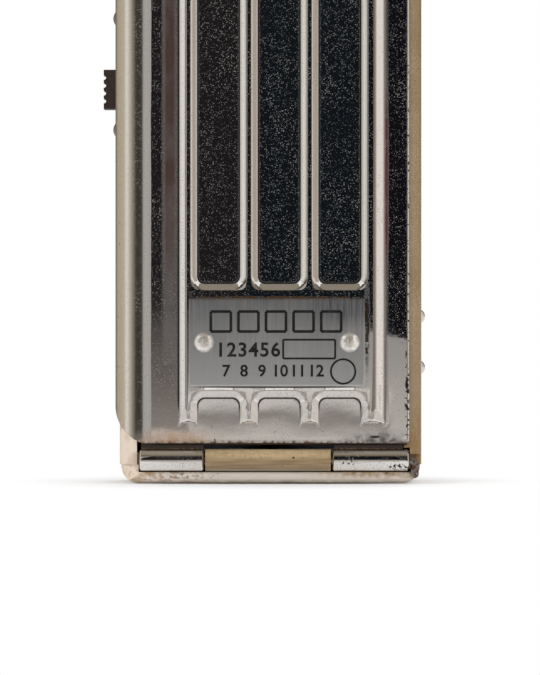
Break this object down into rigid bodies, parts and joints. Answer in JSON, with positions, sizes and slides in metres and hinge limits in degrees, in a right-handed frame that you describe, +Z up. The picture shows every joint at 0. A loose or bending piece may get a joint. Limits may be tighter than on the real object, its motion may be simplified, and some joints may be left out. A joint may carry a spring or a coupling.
{
  "type": "hand signal lamp",
  "caption": "Box-shaped hand signal lamp with a ribbed plated battery door hinged at its foot, a bull's-eye lens, a turning colour drum, a slide switch and a folding handle.",
  "frame": {"origin": "on the table, under the middle of the case", "axes": "+Z up; +Y the way the lamp shines, so the battery door faces -Y; +X to the right seen from behind"},
  "size_m": [0.0874, 0.061, 0.1985],
  "materials": {
    "khaki_paint": "stove enamel, rubbed and chipped",
    "plated_steel": "bright plating, pitted and scratched",
    "brushed_plate": "upright brushed grain",
    "bright_steel": "plain steel",
    "tinned_steel": "dull tin",
    "contact_brass": "dull brass strip",
    "bakelite": "dark moulded bakelite",
    "vulcan_fibre": "red-brown vulcanised fibre",
    "paper_laminate": "brown paper laminate",
    "cell_jacket": "plain printed jacket, no lettering",
    "clear_glass": "pressed glass",
    "red_celluloid": "clear red sheet",
    "green_celluloid": "clear green sheet",
    "silvered_mirror": "polished",
    "black_rubber": "moulded, dull"
  },
  "bodies": {
    "lamp_case": {"case_body": "khaki_paint", "bottom_pan": "khaki_paint", "top_cap": "khaki_paint", "hinge_leaf": "khaki_paint", "hinge_pin": "bright_steel", "door_catch": "bright_steel", "cell_spring": "bright_steel", "cell_spring_rivets": "plated_steel", "fibre_pad": "vulcan_fibre", "bridge_contact": "contact_brass", "cell_left": "cell_jacket", "cell_right": "cell_jacket", "battery_liner": "vulcan_fibre", "board_shelf": "bright_steel", "contact_board": "paper_laminate", "board_screws": "bright_steel", "positive_contact": "contact_brass", "negative_contact": "contact_brass", "centre_contact": "contact_brass", "earth_strip": "contact_brass", "bulb_pillar": "bakelite", "bulb_socket": "contact_brass", "bulb_mirror": "silvered_mirror", "bulb_base": "contact_brass", "bulb_glass": "clear_glass", "bulb_filament": "bright_steel", "lens_collar": "khaki_paint", "lens_seal": "black_rubber", "lens": "clear_glass", "lens_bezel": "plated_steel", "colour_dial": "brushed_plate", "shaft_bush": "contact_brass", "bush_nut": "contact_brass", "detent_spring": "bright_steel", "switch_plate": "plated_steel", "switch_block": "bakelite", "switch_contact": "contact_brass", "switch_screws": "bright_steel", "handle_spacers": "bright_steel", "handle_pivots": "bright_steel"},
    "battery_door": {"door_panel": "plated_steel", "door_tongue": "bright_steel", "name_plate": "brushed_plate", "name_plate_rivets": "plated_steel"},
    "colour_selector": {"drum_frame": "tinned_steel", "red_pane": "red_celluloid", "green_pane": "green_celluloid", "selector_shaft": "bright_steel", "selector_knob": "bakelite", "knob_screw": "bright_steel"},
    "switch_slider": {"switch_thumb": "bakelite"},
    "carrying_handle": {"handle_bail": "plated_steel", "handle_grip": "black_rubber"}
  },
  "joints": [
    {"name": "door_hinge", "type": "hinge", "parent": "lamp_case", "child": "battery_door", "pos_m": [0, -0.0226, 0.0059], "axis": [1, 0, 0], "range_deg": [0, 90]},
    {"name": "selector_turn", "type": "hinge", "parent": "lamp_case", "child": "colour_selector", "pos_m": [0, -0.00185, 0.105], "axis": [0, 0, 1], "continuous": true},
    {"name": "switch_slide", "type": "slide", "parent": "lamp_case", "child": "switch_slider", "axis": [0, 0, 1], "range_m": [0, 0.008]},
    {"name": "handle_swing", "type": "hinge", "parent": "lamp_case", "child": "carrying_handle", "pos_m": [0, 0, 0.135], "axis": [1, 0, 0], "range_deg": [-125, 135]}
  ]
}
